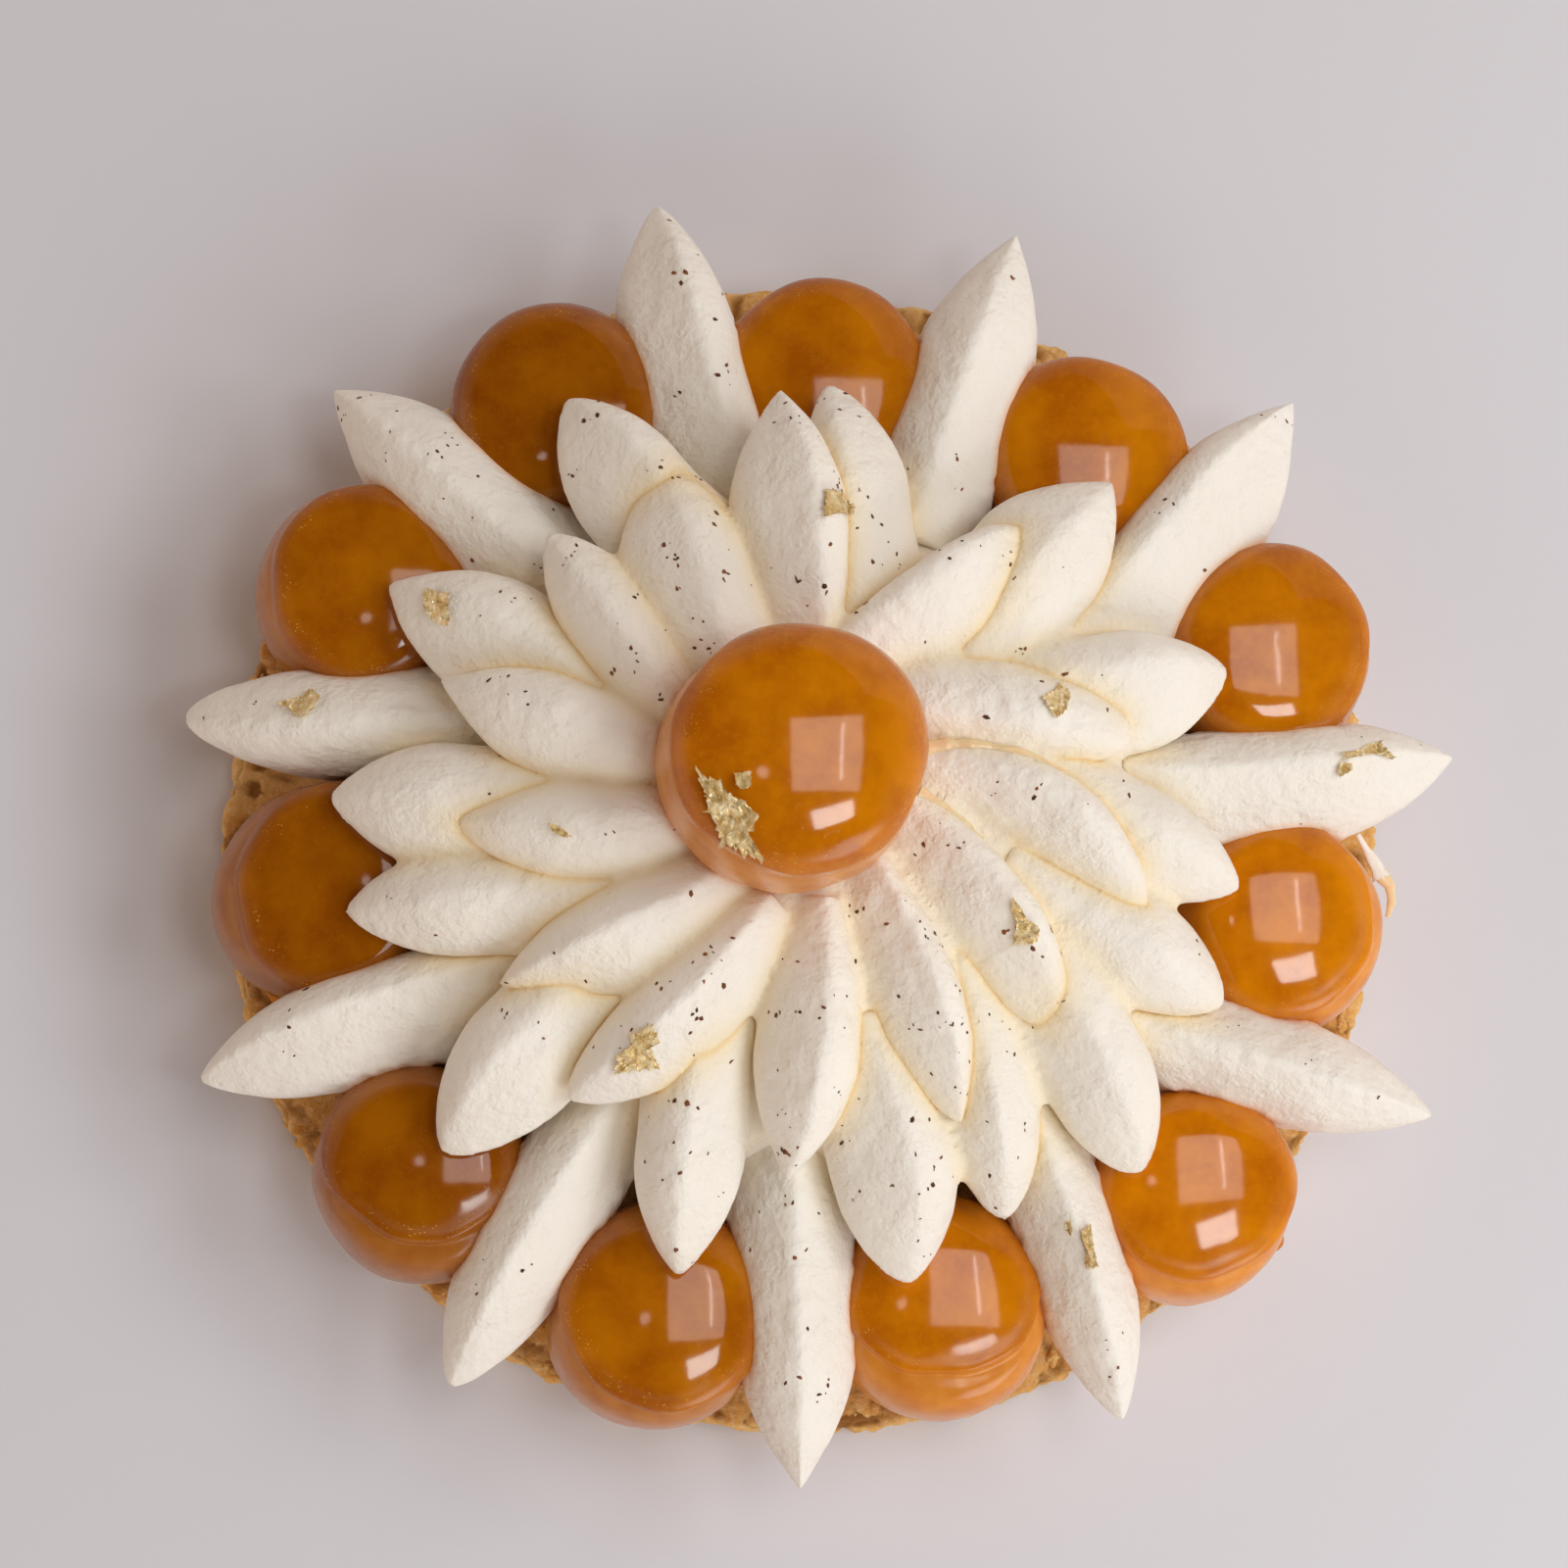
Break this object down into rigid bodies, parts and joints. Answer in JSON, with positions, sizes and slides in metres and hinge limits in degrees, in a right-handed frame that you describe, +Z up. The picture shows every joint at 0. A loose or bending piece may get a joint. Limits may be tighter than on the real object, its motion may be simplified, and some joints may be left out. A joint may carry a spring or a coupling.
{
  "type": "saint honore cake",
  "caption": "Round choux cake: a pastry disc with a ring of caramel-glazed puffs, a crown of piped cream petals and one puff on top.",
  "frame": {"origin": "centre of the flat underside of the pastry disc", "axes": "+Z up through the top puff, +Y towards the upper edge of the view from above, +X to its right"},
  "size_m": [0.2237, 0.2257, 0.0853],
  "materials": {
    "cream": "satin whipped cream with vanilla specks",
    "caramel": "glossy amber caramel glaze",
    "pastry": "rough baked flaky pastry",
    "gold": "crumpled gold leaf",
    "vanilla": "dark vanilla grains"
  },
  "bodies": {
    "root": {"pastry_base": "pastry", "cream_bed": "cream", "choux_puff_01": "caramel", "choux_puff_02": "caramel", "choux_puff_03": "caramel", "choux_puff_04": "caramel", "choux_puff_05": "caramel", "choux_puff_06": "caramel", "choux_puff_07": "caramel", "choux_puff_08": "caramel", "choux_puff_09": "caramel", "choux_puff_10": "caramel", "choux_puff_11": "caramel", "top_puff": "caramel", "inner_petal_01": "cream", "inner_petal_02": "cream", "inner_petal_03": "cream", "inner_petal_04": "cream", "inner_petal_05": "cream", "inner_petal_06": "cream", "inner_petal_07": "cream", "inner_petal_08": "cream", "inner_petal_09": "cream", "inner_petal_10": "cream", "inner_petal_11": "cream", "inner_petal_12": "cream", "inner_petal_13": "cream", "middle_petal_01": "cream", "middle_petal_02": "cream", "middle_petal_03": "cream", "middle_petal_04": "cream", "middle_petal_05": "cream", "middle_petal_06": "cream", "middle_petal_07": "cream", "middle_petal_08": "cream", "middle_petal_09": "cream", "middle_petal_10": "cream", "middle_petal_11": "cream", "middle_petal_12": "cream", "middle_petal_13": "cream", "middle_petal_14": "cream", "outer_petal_01": "cream", "outer_petal_02": "cream", "outer_petal_03": "cream", "outer_petal_04": "cream", "outer_petal_05": "cream", "outer_petal_06": "cream", "outer_petal_07": "cream", "outer_petal_08": "cream", "outer_petal_09": "cream", "outer_petal_10": "cream", "outer_petal_11": "cream"}
  },
  "joints": []
}
